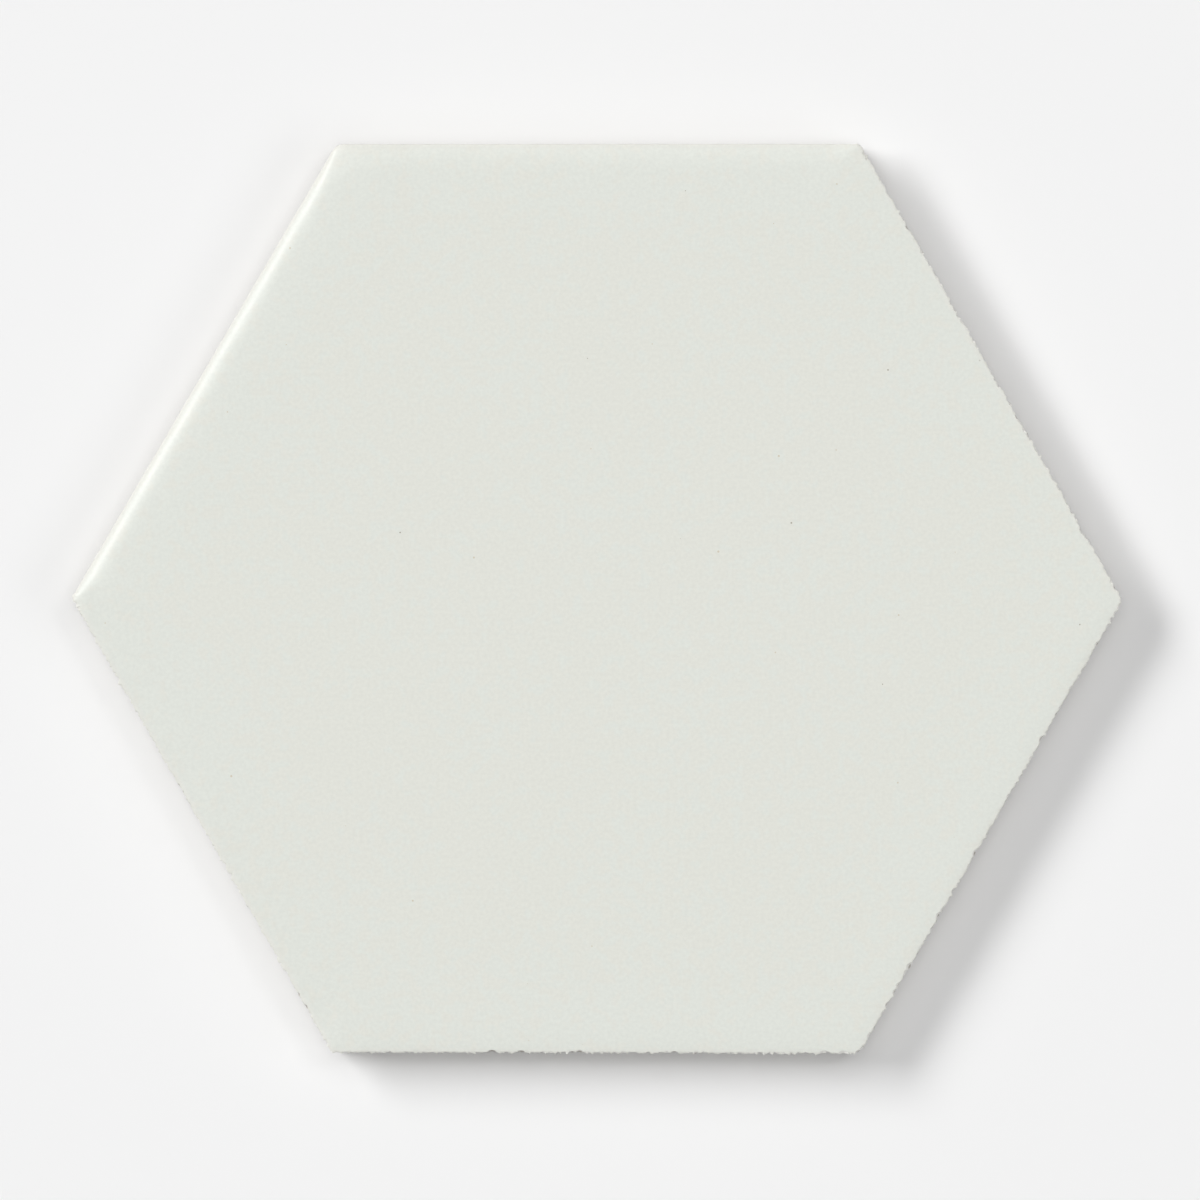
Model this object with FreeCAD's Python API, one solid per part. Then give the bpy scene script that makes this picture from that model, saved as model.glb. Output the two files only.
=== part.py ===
import FreeCAD, Part
import math
import os

# Hexagonal floor tile, pressed and fired as one piece, lying glazed face up.
# Millimetres. The origin is the middle of the back, +Z points out of the glazed face, and two
# opposite corners lie on the X axis, so two opposite sides run along X.

# Overall form
ACROSS_FLATS = 150.0           # between two opposite upright sides
THICKNESS = 9.0                # from the back to the glazed face
CORNER_RADIUS = 1.2            # upright rounding where two sides meet

# Face edges: over two neighbouring sides the glaze rolls down in a soft shoulder, whose wide
# round turns into a tight one, and the other four were ground upright and have a crisp arris
SHOULDER_WIDTH = 3.6           # measured in from the side
SHOULDER_DROP = 1.3            # measured down from the face
SHOULDER_TURN = 25.0           # slope at which the wide round ends, in degrees from level
ARRIS_RADIUS = 0.3
SOFT_SIDES = (90, 150)         # directions that the soft sides face, in degrees from +X
CRISP_SIDES = (30, 210, 270, 330)

# Chamfer between the upright sides and the back
CHAMFER_HEIGHT = 1.0
CHAMFER_WIDTH = 0.8            # how far the chamfer takes the back's outline in

# Keyed back: shallow six-sided pockets in a honeycomb, which the mortar fills
POCKET_ACROSS_FLATS = 13.0     # at the pocket's mouth
POCKET_LAND = 3.5              # width of the rib left between two pockets
POCKET_DEPTH = 0.8
POCKET_DRAFT = 30.0            # lean of the pocket's walls from upright, in degrees
BACK_BORDER = 8.0              # least plain width between the pockets and the tile's side

# How far a cutting shape stands out past the surface that it cuts
CUT_CLEARANCE = 1.0

SIDES = 6
SIDE_TURN = 360.0 / SIDES
HALF_TURN_COSINE = math.cos(math.radians(SIDE_TURN / 2.0))
HALF_TURN_TANGENT = math.tan(math.radians(SIDE_TURN / 2.0))

back_across_flats = ACROSS_FLATS - 2.0 * CHAMFER_WIDTH


def polar(distance, degrees, z):
    """Point at a distance from the Z axis, in the direction given in degrees from +X."""
    angle = math.radians(degrees)
    return FreeCAD.Vector(distance * math.cos(angle), distance * math.sin(angle), z)


def rounded_hexagon(across_flats, corner_radius, z):
    """Edges of a closed hexagon with corners on the X axis, each corner an arc."""
    corner_distance = across_flats / 2.0 / HALF_TURN_COSINE
    arc_centre_distance = corner_distance - corner_radius / HALF_TURN_COSINE
    straight_half = (across_flats / 2.0 - corner_radius) * HALF_TURN_TANGENT
    straight_end_distance = math.hypot(across_flats / 2.0, straight_half)
    straight_end_turn = math.degrees(math.atan2(straight_half, across_flats / 2.0))
    edges = []
    for index in range(SIDES):
        corner_at = index * SIDE_TURN
        side_faces = corner_at + SIDE_TURN / 2.0
        arc_start = polar(straight_end_distance, corner_at - SIDE_TURN / 2.0 + straight_end_turn, z)
        arc_middle = polar(arc_centre_distance + corner_radius, corner_at, z)
        straight_start = polar(straight_end_distance, side_faces - straight_end_turn, z)
        straight_end = polar(straight_end_distance, side_faces + straight_end_turn, z)
        edges.append(Part.Arc(arc_start, arc_middle, straight_start).toShape())
        edges.append(Part.LineSegment(straight_start, straight_end).toShape())
    return edges


def sharp_hexagon(across_flats, z):
    """Edges of a closed hexagon about the Z axis, with corners facing along Y."""
    corner_distance = across_flats / 2.0 / HALF_TURN_COSINE
    corners = [polar(corner_distance, SIDE_TURN * (index + 0.5), z) for index in range(SIDES)]
    return [
        Part.LineSegment(corners[index - 1], corners[index]).toShape() for index in range(SIDES)
    ]


def wall(lower_edge, upper_edge):
    """Flat wall between two straight edges, or ruled wall between two arcs."""
    if isinstance(lower_edge.Curve, Part.Circle):
        return Part.makeRuledSurface(lower_edge, upper_edge)
    low_start, low_end = [vertex.Point for vertex in lower_edge.Vertexes]
    high_start, high_end = [vertex.Point for vertex in upper_edge.Vertexes]
    return Part.Face(Part.makePolygon([low_start, low_end, high_end, high_start, low_start]))


def stacked_solid(outlines):
    """Solid whose walls run straight from each outline to the next one above it."""
    faces = [Part.Face(Part.Wire(outlines[0])), Part.Face(Part.Wire(outlines[-1]))]
    for lower, upper in zip(outlines[:-1], outlines[1:]):
        faces += [wall(*pair) for pair in zip(lower, upper)]
    return Part.Solid(Part.Shell(faces))


def pressed_blank():
    """The tile's body with its back chamfer and upright corners, before its face edges."""
    sections = (
        (back_across_flats, 0.0),
        (ACROSS_FLATS, CHAMFER_HEIGHT),
        (ACROSS_FLATS, THICKNESS),
    )
    outlines = [rounded_hexagon(across_flats, CORNER_RADIUS, z) for across_flats, z in sections]
    return stacked_solid(outlines)


def edge_arc(centre_inward, centre_z, radius, first_slope, last_slope):
    """Arc of a face edge, on the side that faces +X, between two slopes from level."""
    centre_x = ACROSS_FLATS / 2.0 - centre_inward
    points = []
    for slope in (first_slope, (first_slope + last_slope) / 2.0, last_slope):
        angle = math.radians(slope)
        x = centre_x + radius * math.sin(angle)
        z = centre_z + radius * math.cos(angle)
        points.append(FreeCAD.Vector(x, 0.0, z))
    return Part.Arc(*points).toShape()


def arris_edges():
    """Profile of a crisp arris, from the side up to the face."""
    return [edge_arc(ARRIS_RADIUS, THICKNESS - ARRIS_RADIUS, ARRIS_RADIUS, 90.0, 0.0)]


def shoulder_edges():
    """Profile of the soft shoulder, from the side up to the face: a tight and a wide arc."""
    across = math.sin(math.radians(SHOULDER_TURN))
    upright = math.cos(math.radians(SHOULDER_TURN))
    tight_radius = (SHOULDER_DROP * across - SHOULDER_WIDTH * (1.0 - upright)) / (
        upright + across - 1.0
    )
    wide_radius = (SHOULDER_WIDTH - tight_radius * (1.0 - across)) / across
    tight_z = THICKNESS - SHOULDER_DROP
    return [
        edge_arc(tight_radius, tight_z, tight_radius, 90.0, SHOULDER_TURN),
        edge_arc(SHOULDER_WIDTH, THICKNESS - wide_radius, wide_radius, SHOULDER_TURN, 0.0),
    ]


def face_edge_cutter(profile_edges, side_faces):
    """What comes off along one side to leave the face edge with the given profile."""
    side_end = profile_edges[0].valueAt(profile_edges[0].FirstParameter)
    face_end = profile_edges[-1].valueAt(profile_edges[-1].LastParameter)
    outside = ACROSS_FLATS / 2.0 + CUT_CLEARANCE
    above = THICKNESS + CUT_CLEARANCE
    corners = [
        face_end,
        FreeCAD.Vector(face_end.x, 0.0, above),
        FreeCAD.Vector(outside, 0.0, above),
        FreeCAD.Vector(outside, 0.0, side_end.z),
        side_end,
    ]
    profile = Part.Wire(profile_edges + Part.makePolygon(corners).Edges)
    half_length = ACROSS_FLATS / 2.0
    cutter = Part.Face(profile).extrude(FreeCAD.Vector(0.0, 2.0 * half_length, 0.0))
    cutter.translate(FreeCAD.Vector(0.0, -half_length, 0.0))
    cutter.rotate(FreeCAD.Vector(), FreeCAD.Vector(0.0, 0.0, 1.0), side_faces)
    return cutter


def pocket_cutter(centre):
    """One pocket of the keyed back: a six-sided frustum that narrows upwards."""
    lean = math.tan(math.radians(POCKET_DRAFT))
    mouth = sharp_hexagon(POCKET_ACROSS_FLATS + 2.0 * CUT_CLEARANCE * lean, -CUT_CLEARANCE)
    floor = sharp_hexagon(POCKET_ACROSS_FLATS - 2.0 * POCKET_DEPTH * lean, POCKET_DEPTH)
    cutter = stacked_solid([mouth, floor])
    cutter.translate(centre)
    return cutter


def honeycomb_centres():
    """Centres of as many whole rings of pockets as the border leaves room for."""
    pitch = POCKET_ACROSS_FLATS + POCKET_LAND
    pocket_reach = POCKET_ACROSS_FLATS / 2.0 / HALF_TURN_COSINE
    room = ACROSS_FLATS / 2.0 - BACK_BORDER - pocket_reach
    rings = int(room / (pitch * HALF_TURN_COSINE))
    centres = []
    for column in range(-rings, rings + 1):
        for row in range(-rings, rings + 1):
            if abs(column + row) <= rings:
                centres.append(polar(column * pitch, 0.0, 0.0) + polar(row * pitch, SIDE_TURN, 0.0))
    return centres


def hexagon_tile():
    """The whole tile: pressed blank, face edges shaped, back keyed."""
    cutters = [face_edge_cutter(shoulder_edges(), side) for side in SOFT_SIDES]
    cutters += [face_edge_cutter(arris_edges(), side) for side in CRISP_SIDES]
    cutters += [pocket_cutter(centre) for centre in honeycomb_centres()]
    return pressed_blank().cut(cutters)


os.makedirs("parts", exist_ok=True)
hexagon_tile().Solids[0].exportStep("parts/hexagon_tile.step")
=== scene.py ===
import functools
import logging
import math
from dataclasses import dataclass, field
from enum import Enum
from typing import Any, Callable, Sequence

import bpy
import numpy as np
from mathutils import Euler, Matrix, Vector


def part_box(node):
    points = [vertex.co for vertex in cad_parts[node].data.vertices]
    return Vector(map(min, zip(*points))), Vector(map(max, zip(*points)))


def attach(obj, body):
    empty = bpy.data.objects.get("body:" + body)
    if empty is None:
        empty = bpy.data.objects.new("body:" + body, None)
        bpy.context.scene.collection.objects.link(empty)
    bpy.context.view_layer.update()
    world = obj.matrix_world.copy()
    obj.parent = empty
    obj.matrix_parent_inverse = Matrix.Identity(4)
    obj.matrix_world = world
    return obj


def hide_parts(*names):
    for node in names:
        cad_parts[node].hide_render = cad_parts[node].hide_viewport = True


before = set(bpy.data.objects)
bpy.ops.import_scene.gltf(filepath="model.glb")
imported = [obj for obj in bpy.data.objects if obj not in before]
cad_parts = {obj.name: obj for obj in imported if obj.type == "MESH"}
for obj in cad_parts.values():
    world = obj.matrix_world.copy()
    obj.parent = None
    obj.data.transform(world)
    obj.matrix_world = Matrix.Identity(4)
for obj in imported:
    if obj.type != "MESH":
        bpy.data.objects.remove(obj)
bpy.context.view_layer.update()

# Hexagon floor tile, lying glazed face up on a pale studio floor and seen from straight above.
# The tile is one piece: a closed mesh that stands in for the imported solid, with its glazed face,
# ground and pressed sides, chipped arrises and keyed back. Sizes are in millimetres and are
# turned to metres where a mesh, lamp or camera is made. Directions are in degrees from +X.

log = logging.getLogger("hexagon_tile")

MM = 0.001
TILE_NODE = "hexagon_tile"
SIDES = 6
SIDE_TURN = math.radians(360.0 / SIDES)
HALF_TURN = SIDE_TURN / 2.0
# Height at which the glaze meets the body, where a ground side or a chip shows them in section
GLAZE_FLOOR = 8.5
# Nearly all values of a noise texture lie between these two
NOISE_SPAN = {"From Min": 0.3, "From Max": 0.7}


def linear(colour: str) -> tuple[float, float, float, float]:
    """Turn an sRGB hex colour into linear red, green, blue and alpha.

    Args:
        colour: Six hex digits after a hash mark.

    Returns:
        The four linear components, with alpha 1.
    """
    parts = [int(colour[start:start + 2], 16) / 255.0 for start in (1, 3, 5)]
    red, green, blue = (
        part / 12.92 if part <= 0.04045 else ((part + 0.055) / 1.055) ** 2.4 for part in parts
    )
    return red, green, blue, 1.0


def first_output(node: bpy.types.Node) -> bpy.types.NodeSocket:
    """First output of a node that its settings leave in use."""
    return next(socket for socket in node.outputs if socket.enabled)


def add_node(
    tree: bpy.types.NodeTree, kind: str, feeds: dict[str | int, Any], **settings: Any
) -> bpy.types.Node:
    """Add a node, set its properties, and link or set its inputs.

    Args:
        tree: Tree that the node goes into.
        kind: Blender's name for the node's type.
        feeds: For each input, by its name or number, what feeds it: a node's first output, a
            socket, a list of sockets, or a fixed value.
        settings: The node's own properties.

    Returns:
        The new node.
    """
    node = tree.nodes.new(kind)
    for name, value in settings.items():
        setattr(node, name, value)
    for key, value in feeds.items():
        named = [socket for socket in node.inputs if socket.name == key and socket.enabled]
        socket = named[0] if named else node.inputs[key]
        for feed in value if isinstance(value, list) else [value]:
            if isinstance(feed, bpy.types.Node):
                tree.links.new(first_output(feed), socket)
            elif isinstance(feed, bpy.types.NodeSocket):
                tree.links.new(feed, socket)
            else:
                socket.default_value = feed
    return node


def smooth_step(values: np.ndarray) -> np.ndarray:
    """Ease values from 0 to 1, flat at both ends."""
    clipped = np.clip(values, 0.0, 1.0)
    return clipped * clipped * (3.0 - 2.0 * clipped)


def place_object(name: str, data: Any) -> bpy.types.Object:
    """Put an object into the scene, at the origin.

    Args:
        name: Name of the object.
        data: Its mesh, lamp or camera.

    Returns:
        The object.
    """
    placed = bpy.data.objects.new(name, data)
    bpy.context.scene.collection.objects.link(placed)
    return placed


def empty_tree(owner: bpy.types.Material | bpy.types.World) -> bpy.types.NodeTree:
    """Switch a material or a world to nodes, without any.

    Args:
        owner: The material or world.

    Returns:
        Its node tree.
    """
    owner.use_nodes = True
    owner.node_tree.nodes.clear()
    return owner.node_tree


def new_mesh(
    name: str, places: Any, edges: Sequence = (), faces: Sequence = (), **marks: Any
) -> bpy.types.Mesh:
    """Make a mesh, with values stored at its points.

    Args:
        name: Name of the mesh.
        places: Places of its points, in millimetres.
        edges: Its loose edges, as numbers of points.
        faces: Its faces, as numbers of points.
        marks: Values at the points, by the name they are stored under.

    Returns:
        The mesh, in metres.
    """
    mesh = bpy.data.meshes.new(name)
    mesh.from_pydata(np.asarray(places) * MM, edges, faces)
    for label, values in marks.items():
        mesh.attributes.new(label, "FLOAT", "POINT").data.foreach_set("value", values)
    return mesh


def ring_places(bearing: np.ndarray, distance: np.ndarray, height: Any) -> np.ndarray:
    """Places round the Z axis.

    Args:
        bearing: Directions in radians.
        distance: Distance from the axis in each direction.
        height: Height of the places.

    Returns:
        One place for each direction.
    """
    level = np.broadcast_to(height, bearing.shape)
    return np.stack([distance * np.cos(bearing), distance * np.sin(bearing), level], axis=1)


def outline_radius(bearing: np.ndarray, flat: Any, rounding: Any) -> np.ndarray:
    """Distance from the middle to a rounded hexagon with corners on the X axis.

    Args:
        bearing: Directions in radians.
        flat: Distance from the middle to the sides.
        rounding: Radius of the corners.

    Returns:
        One distance for each direction.
    """
    off_corner = np.abs((bearing + HALF_TURN) % SIDE_TURN - HALF_TURN)
    centre = (flat - rounding) / math.cos(HALF_TURN)
    arc_end = np.arctan2(rounding * math.sin(HALF_TURN), centre + rounding * math.cos(HALF_TURN))
    inside_root = np.maximum(rounding**2 - (centre * np.sin(off_corner)) ** 2, 0.0)
    on_arc = centre * np.cos(off_corner) + np.sqrt(inside_root)
    on_side = flat / np.cos(HALF_TURN - off_corner)
    return np.where(off_corner < arc_end, on_arc, on_side)


class Slot(Enum):
    """Order of the tile's material slots."""

    BODY = 0
    GLAZE = 1


@dataclass(frozen=True)
class SideMake:
    """What sides that were made in one way have in common.

    Attributes:
        setback: How far the side stands inside the tile's widest plane.
        ragged: How far the edge of the face wanders in and out.
        glaze_foot: Height down to which the glaze reaches.
        glaze_run: How far that lower line wanders up and down.
        undercut: How far the side stands back below the edge.
        bead: How far the thickened lower edge of the glaze stands out.
        ground: 1 where a wheel ground the side, 0 where the die pressed it.
    """

    setback: float
    ragged: float
    glaze_foot: float
    glaze_run: float
    undercut: float
    bead: float
    ground: float


class Make(Enum):
    """Ways in which a side was made."""

    PRESSED = SideMake(
        setback=0.08,
        ragged=0.02,
        glaze_foot=6.7,
        glaze_run=0.25,
        undercut=0.0,
        bead=0.07,
        ground=0.0,
    )
    GROUND = SideMake(
        setback=0.01,
        ragged=0.3,
        glaze_foot=GLAZE_FLOOR,
        glaze_run=0.03,
        undercut=0.35,
        bead=0.0,
        ground=1.0,
    )


@dataclass(frozen=True)
class SideEdge:
    """How the glazed face falls away towards one side of the tile.

    Attributes:
        faces: Direction that the side faces.
        make: How the side was made.
        round_width: Width of the rounding at the edge.
        round_drop: Height that the rounding takes.
        swell_width: Reach over which the glaze thins towards the side.
        swell_drop: Height that the face loses over that reach.
        chipped: Share of the places along the edge that have lost a chip.
    """

    faces: int
    make: Make
    round_width: float
    round_drop: float
    swell_width: float
    swell_drop: float
    chipped: float = 0.0


@dataclass(frozen=True)
class Corner:
    """A corner of the tile.

    Attributes:
        faces: Direction that it points in.
        radius: Upright rounding of the glazed face there.
        drift: How far uneven shrinkage in the kiln moved it, along X and Y.
        soften: How much that radius grows for each millimetre inwards.
    """

    faces: int
    radius: float
    drift: tuple[float, float] = (0.0, 0.0)
    soften: float = 0.7


@dataclass(frozen=True)
class Nick:
    """One lost flake at a place along the edge of the face.

    Attributes:
        bearing: Direction of the place from the tile's middle.
        radius: Radius of the flake's hollow.
        bite: How deep the hollow reaches into the edge.
        lift: Direction that the hollow opens in, in degrees above level.
    """

    bearing: float
    radius: float
    bite: float
    lift: float


@dataclass
class PressedSkin:
    """The tile's outer skin: glazed face, face edges, sides and the plain rim of its back.

    Attributes:
        across_flats: Between two opposite sides.
        thickness: From the back to the glazed face.
        sides: Face edge of each side.
        corners: Rounding of each corner of the face.
        body_corner: Corner radius of the sides and of the back.
        corner_turn: Share of the side's height over which the face's corners turn into these.
        chamfer_height: Height of the back chamfer.
        chamfer_width: How far the back chamfer takes the back in.
        chamfer_soft: Height over which the chamfer's upper edge is worn round.
        chamfer_rows: Rows of the chamfer: how far each is worn back, and its height, as
            multiples of chamfer_height and of chamfer_soft that add up.
        foot_round: Rounding between the chamfer and the back.
        foot_worn: How far that rounding is worn back.
        stations: Points round the skin.
        corner_reach: Length beside each corner where the points lie closer.
        corner_step: Distance between points there.
        edge_blend: Length beside a corner over which one side's edge turns into the next one's.
        make_blend: The same for what comes from how the sides were made.
        uneven: How far the widths and drops of the face edges vary, as a share.
        width_wave: Distance from crest to crest where the width varies.
        drop_wave: Distance from crest to crest where the drop varies.
        fewest_waves: Fewest crests round the tile of anything that varies along the sides.
        round_rows: Rows of points over the rounding of the face edge.
        ragged_ease: Power by which the raggedness grows over that rounding.
        swell_rows: Rows of points from there to the flat of the face.
        swell_ease: Power that draws these rows together towards the edge.
        fine_rows: How many of them have all points; the rest have every second one.
        swell_reach: Distance from the side at which the face is flat.
        soft_corner: Most that a corner's radius grows inwards.
        upright_rows: Rows of the upright glaze, as shares of the way down to its bead.
        upright_thin: Thinness of the upright glaze, where 1 is that of the edge.
        bead_height: Height of the thickened lower edge of the glaze.
        bead_share: Most of the upright glaze that it takes up, as a share.
        bead_rows: Rows of this bead: share of its height, and of how far it stands out.
        line_wave: Distance from crest to crest along the glaze's lower edge.
        line_ripple: Distance from crest to crest of the finer ripple on it.
        ripple_share: Height of that ripple, as a share of how far the edge wanders.
        line_limit: Furthest that the lower edge strays, as a multiple of the same.
        least_glaze: Least height of glaze below the rounding of the face edge.
        bare_rows: First rows of the bare body: distance below the glaze, and share of the
            raggedness that is left.
        side_rows: Rows below them: share of the way down to the chamfer, and the same share.
        undercut_height: Height over which an undercut side goes back.
        ragged_room: Distance that a ragged side stays back, as a share of its wander.
        rim_rows: Rows of the back's rim: one point in so many, and share of the way in.
        chip_depth: Depth of the line that the chips follow, as a share of the edge's drop.
        face_step: Distance between the rows of the flat face.
        first_step: Distance of the first of these rows from the middle, in steps.
        flat_skips: Of the edge's points, these rows keep one in this many at most, and one in
            that many at least.
        flat_rows: Last rows of the flat: distance from its end, and one point in so many.
        flat_corner: Corner radius of the flat's rows, as a share of their size, and its most.
        thin_reach: Distance from the edge over which the glaze is thin and takes the edge colour, which
            holds a painted highlight.
        seed: Start of the random draws.
        points: Rings of points made so far.
        faces: Faces made so far, as numbers of points.
        glazed: Whether glaze covers each of them.
        marks: Values at the points, by name and ring by ring. The wear and the finishes
            read them.
    """

    across_flats: float
    thickness: float
    sides: tuple[SideEdge, ...]
    corners: tuple[Corner, ...]
    body_corner: float = 1.25
    corner_turn: float = 0.5
    chamfer_height: float = 1.0
    chamfer_width: float = 0.8
    chamfer_soft: float = 0.35
    chamfer_rows: tuple[tuple[float, float, float], ...] = (
        (0.0, 1.0, 1.0),
        (0.05, 1.0, 0.0),
        (0.03, 1.0, -0.6),
        (0.0, 0.4, 0.0),
    )
    foot_round: float = 0.12
    foot_worn: float = 0.04
    stations: int = 2304
    corner_reach: float = 2.4
    corner_step: float = 0.1
    edge_blend: float = 5.0
    make_blend: float = 2.6
    uneven: float = 0.05
    width_wave: float = 7.0
    drop_wave: float = 9.0
    fewest_waves: int = 3
    round_rows: int = 8
    ragged_ease: float = 0.7
    swell_rows: int = 6
    swell_ease: float = 1.6
    fine_rows: int = 2
    swell_reach: float = 12.0
    soft_corner: float = 9.5
    upright_rows: tuple[float, ...] = (0.3, 0.7)
    upright_thin: float = 0.5
    bead_height: float = 0.45
    bead_share: float = 0.9
    bead_rows: tuple[tuple[float, float], ...] = ((1.0, 0.2), (0.53, 0.85), (0.27, 1.0), (0.07, 0.7))
    line_wave: float = 9.0
    line_ripple: float = 1.6
    ripple_share: float = 0.25
    line_limit: float = 2.5
    least_glaze: float = 0.16
    bare_rows: tuple[tuple[float, float], ...] = ((0.01, 0.95), (0.25, 0.8))
    side_rows: tuple[tuple[float, float], ...] = ((0.15, 0.4), (0.35, 0.15), (0.65, 0.0))
    undercut_height: float = 0.8
    ragged_room: float = 0.3
    rim_rows: tuple[tuple[int, float], ...] = ((2, 0.0), (4, 0.3), (8, 1.0))
    chip_depth: float = 0.25
    face_step: float = 1.9
    first_step: int = 2
    flat_skips: tuple[int, int] = (16, 64)
    flat_rows: tuple[tuple[float, int], ...] = ((2.4, 8), (1.4, 4), (0.7, 2))
    flat_corner: tuple[float, float] = (0.3, 12.0)
    thin_reach: float = 0.45
    seed: int = 7

    points: list[np.ndarray] = field(default_factory=list)
    faces: list[tuple[int, ...]] = field(default_factory=list)
    glazed: list[bool] = field(default_factory=list)
    marks: dict[str, list[np.ndarray]] = field(
        default_factory=lambda: {"ragged": [], "ripple": [], "thin": [], "ground": []}
    )

    def __post_init__(self) -> None:
        """Lay out the points round the skin."""
        self.flat = self.across_flats / 2.0
        self.bearings = self.station_bearings()
        self.random = np.random.default_rng(self.seed)
        ordered = sorted(self.corners, key=lambda corner: corner.faces)
        nearest = np.round(self.bearings / SIDE_TURN).astype(int) % SIDES
        self.face_corner = np.array([corner.radius for corner in ordered])[nearest]
        self.soften = np.array([corner.soften for corner in ordered])[nearest]
        self.drifts = np.array([corner.drift for corner in ordered])
        self.setback = self.by_side(lambda side: side.make.value.setback)
        self.ragged = self.by_side(lambda side: side.make.value.ragged)
        self.undercut = self.by_side(lambda side: side.make.value.undercut)
        self.ground = self.by_side(lambda side: side.make.value.ground)

    def station_bearings(self) -> np.ndarray:
        """Directions of the points round the skin, closer together at the corners.

        Returns:
            Directions in radians, from one corner round to the same corner again.
        """
        per_side = self.stations // SIDES
        half_side = self.flat * math.tan(HALF_TURN)
        near_corner = round(self.corner_reach / self.corner_step)
        steps = np.arange(per_side) / per_side
        knots = (0.0, near_corner / per_side, 1.0 - near_corner / per_side, 1.0)
        ends = (-half_side, self.corner_reach - half_side)
        along = np.interp(steps, knots, (*ends, -ends[1], -ends[0]))
        turn = np.arctan2(along, self.flat) + HALF_TURN
        return np.concatenate([turn + SIDE_TURN * side for side in range(SIDES)])

    def by_side(
        self, pick: Callable[[SideEdge], float], blend: float | None = None
    ) -> np.ndarray:
        """One of the sides' values at each point round, eased from side to side.

        Args:
            pick: Takes the value from a side.
            blend: Length beside a corner over which one side's value turns into the next
                one's, where it isn't make_blend.

        Returns:
            One value for each point.
        """
        values = np.array([pick(side) for side in sorted(self.sides, key=lambda side: side.faces)])
        own = np.floor(self.bearings / SIDE_TURN).astype(int) % SIDES
        off_middle = self.bearings % SIDE_TURN - HALF_TURN
        to_corner = self.flat * (math.tan(HALF_TURN) - np.tan(np.abs(off_middle)))
        neighbour = (own + np.where(off_middle > 0, 1, -1)) % SIDES
        share = 0.5 * (1.0 - smooth_step(to_corner / (blend or self.make_blend)))
        return values[own] * (1.0 - share) + values[neighbour] * share

    def fired(self, places: np.ndarray) -> np.ndarray:
        """Move places as the kiln moved the corners; each sixth of the tile stays straight-sided.

        Args:
            places: Places on the tile as it was pressed.

        Returns:
            The same places after firing.
        """
        bearing = np.arctan2(places[:, 1], places[:, 0]) % (2.0 * math.pi)
        sector = np.floor(bearing / SIDE_TURN).astype(int) % SIDES
        past = bearing - sector * SIDE_TURN
        reach = np.hypot(places[:, 0], places[:, 1]) / self.flat * math.cos(HALF_TURN)
        first = reach * np.sin(SIDE_TURN - past) / math.sin(SIDE_TURN)
        second = reach * np.sin(past) / math.sin(SIDE_TURN)
        past_drift = self.drifts[(sector + 1) % SIDES] * second[:, None]
        drifts = self.drifts[sector] * first[:, None] + past_drift
        return places + np.pad(drifts, ((0, 0), (0, 1)))

    def rounding_at(self, inward: Any) -> np.ndarray:
        """Corner radius of the face at a distance from the side."""
        return self.face_corner + np.minimum(self.soften * inward, self.soft_corner)

    def wander(self, wavelength: float, amount: Any) -> np.ndarray:
        """Smooth random values round the tile that close up on themselves.

        Args:
            wavelength: Shortest distance from crest to crest, along the side.
            amount: Spread of the values.

        Returns:
            One value for each point.
        """
        length = SIDES * 2.0 * self.flat * math.tan(HALF_TURN)
        waves = np.arange(self.fewest_waves, int(length / wavelength))
        phases = self.random.uniform(0.0, 2.0 * math.pi, len(waves))
        sizes = self.random.normal(0.0, 1.0, len(waves))
        total = np.zeros(self.stations)
        for wave, phase, size in zip(waves, phases, sizes):
            total += size * np.sin(wave * self.bearings + phase)
        return amount * total / total.std()

    def add_ring(
        self, inset: Any, height: Any, rounding: Any, skip: int = 1, **marks: Any
    ) -> np.ndarray:
        """Add one ring of points.

        Args:
            inset: Distance that the ring lies inside the tile's widest plane.
            height: Height of the ring's points.
            rounding: Corner radius.
            skip: Take one point in so many.
            marks: Values of the skin's marks at the points.

        Returns:
            The numbers of the new points.
        """
        def spread(value: Any) -> np.ndarray:
            """One value for each point that is taken."""
            return np.broadcast_to(value, self.bearings.shape)[::skip]

        bearings = self.bearings[::skip]
        distance = outline_radius(bearings, self.flat - spread(inset), spread(rounding))
        start = sum(map(len, self.points))
        self.points.append(ring_places(bearings, distance, spread(height)))
        for name, values in self.marks.items():
            values.append(spread(marks.get(name, 0.0)))
        return np.arange(start, start + len(bearings))

    def join(self, inner: np.ndarray, outer: np.ndarray, glazed: bool) -> np.ndarray:
        """Fill the strip between two rings, one of which may have twice the other's points.

        Args:
            inner: Ring nearer the middle of the face, or higher on the side.
            outer: Ring further out, or lower on the side.
            glazed: Whether glaze covers the strip.

        Returns:
            The outer ring.
        """
        if len(inner) == len(outer):
            for this in range(len(inner)):
                before = this - 1
                self.faces.append((inner[before], outer[before], outer[this], inner[this]))
        else:
            few, many = sorted((inner, outer), key=len)
            turn = 1 if few is inner else -1
            for this in range(len(few)):
                after = (this + 1) % len(few)
                first, middle, last = many[2 * this], many[2 * this + 1], many[2 * after]
                for face in (
                    (few[this], first, middle),
                    (few[this], middle, few[after]),
                    (few[after], middle, last),
                ):
                    self.faces.append(face[::turn])
        self.glazed += [glazed] * (len(self.faces) - len(self.glazed))
        return outer

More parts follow.
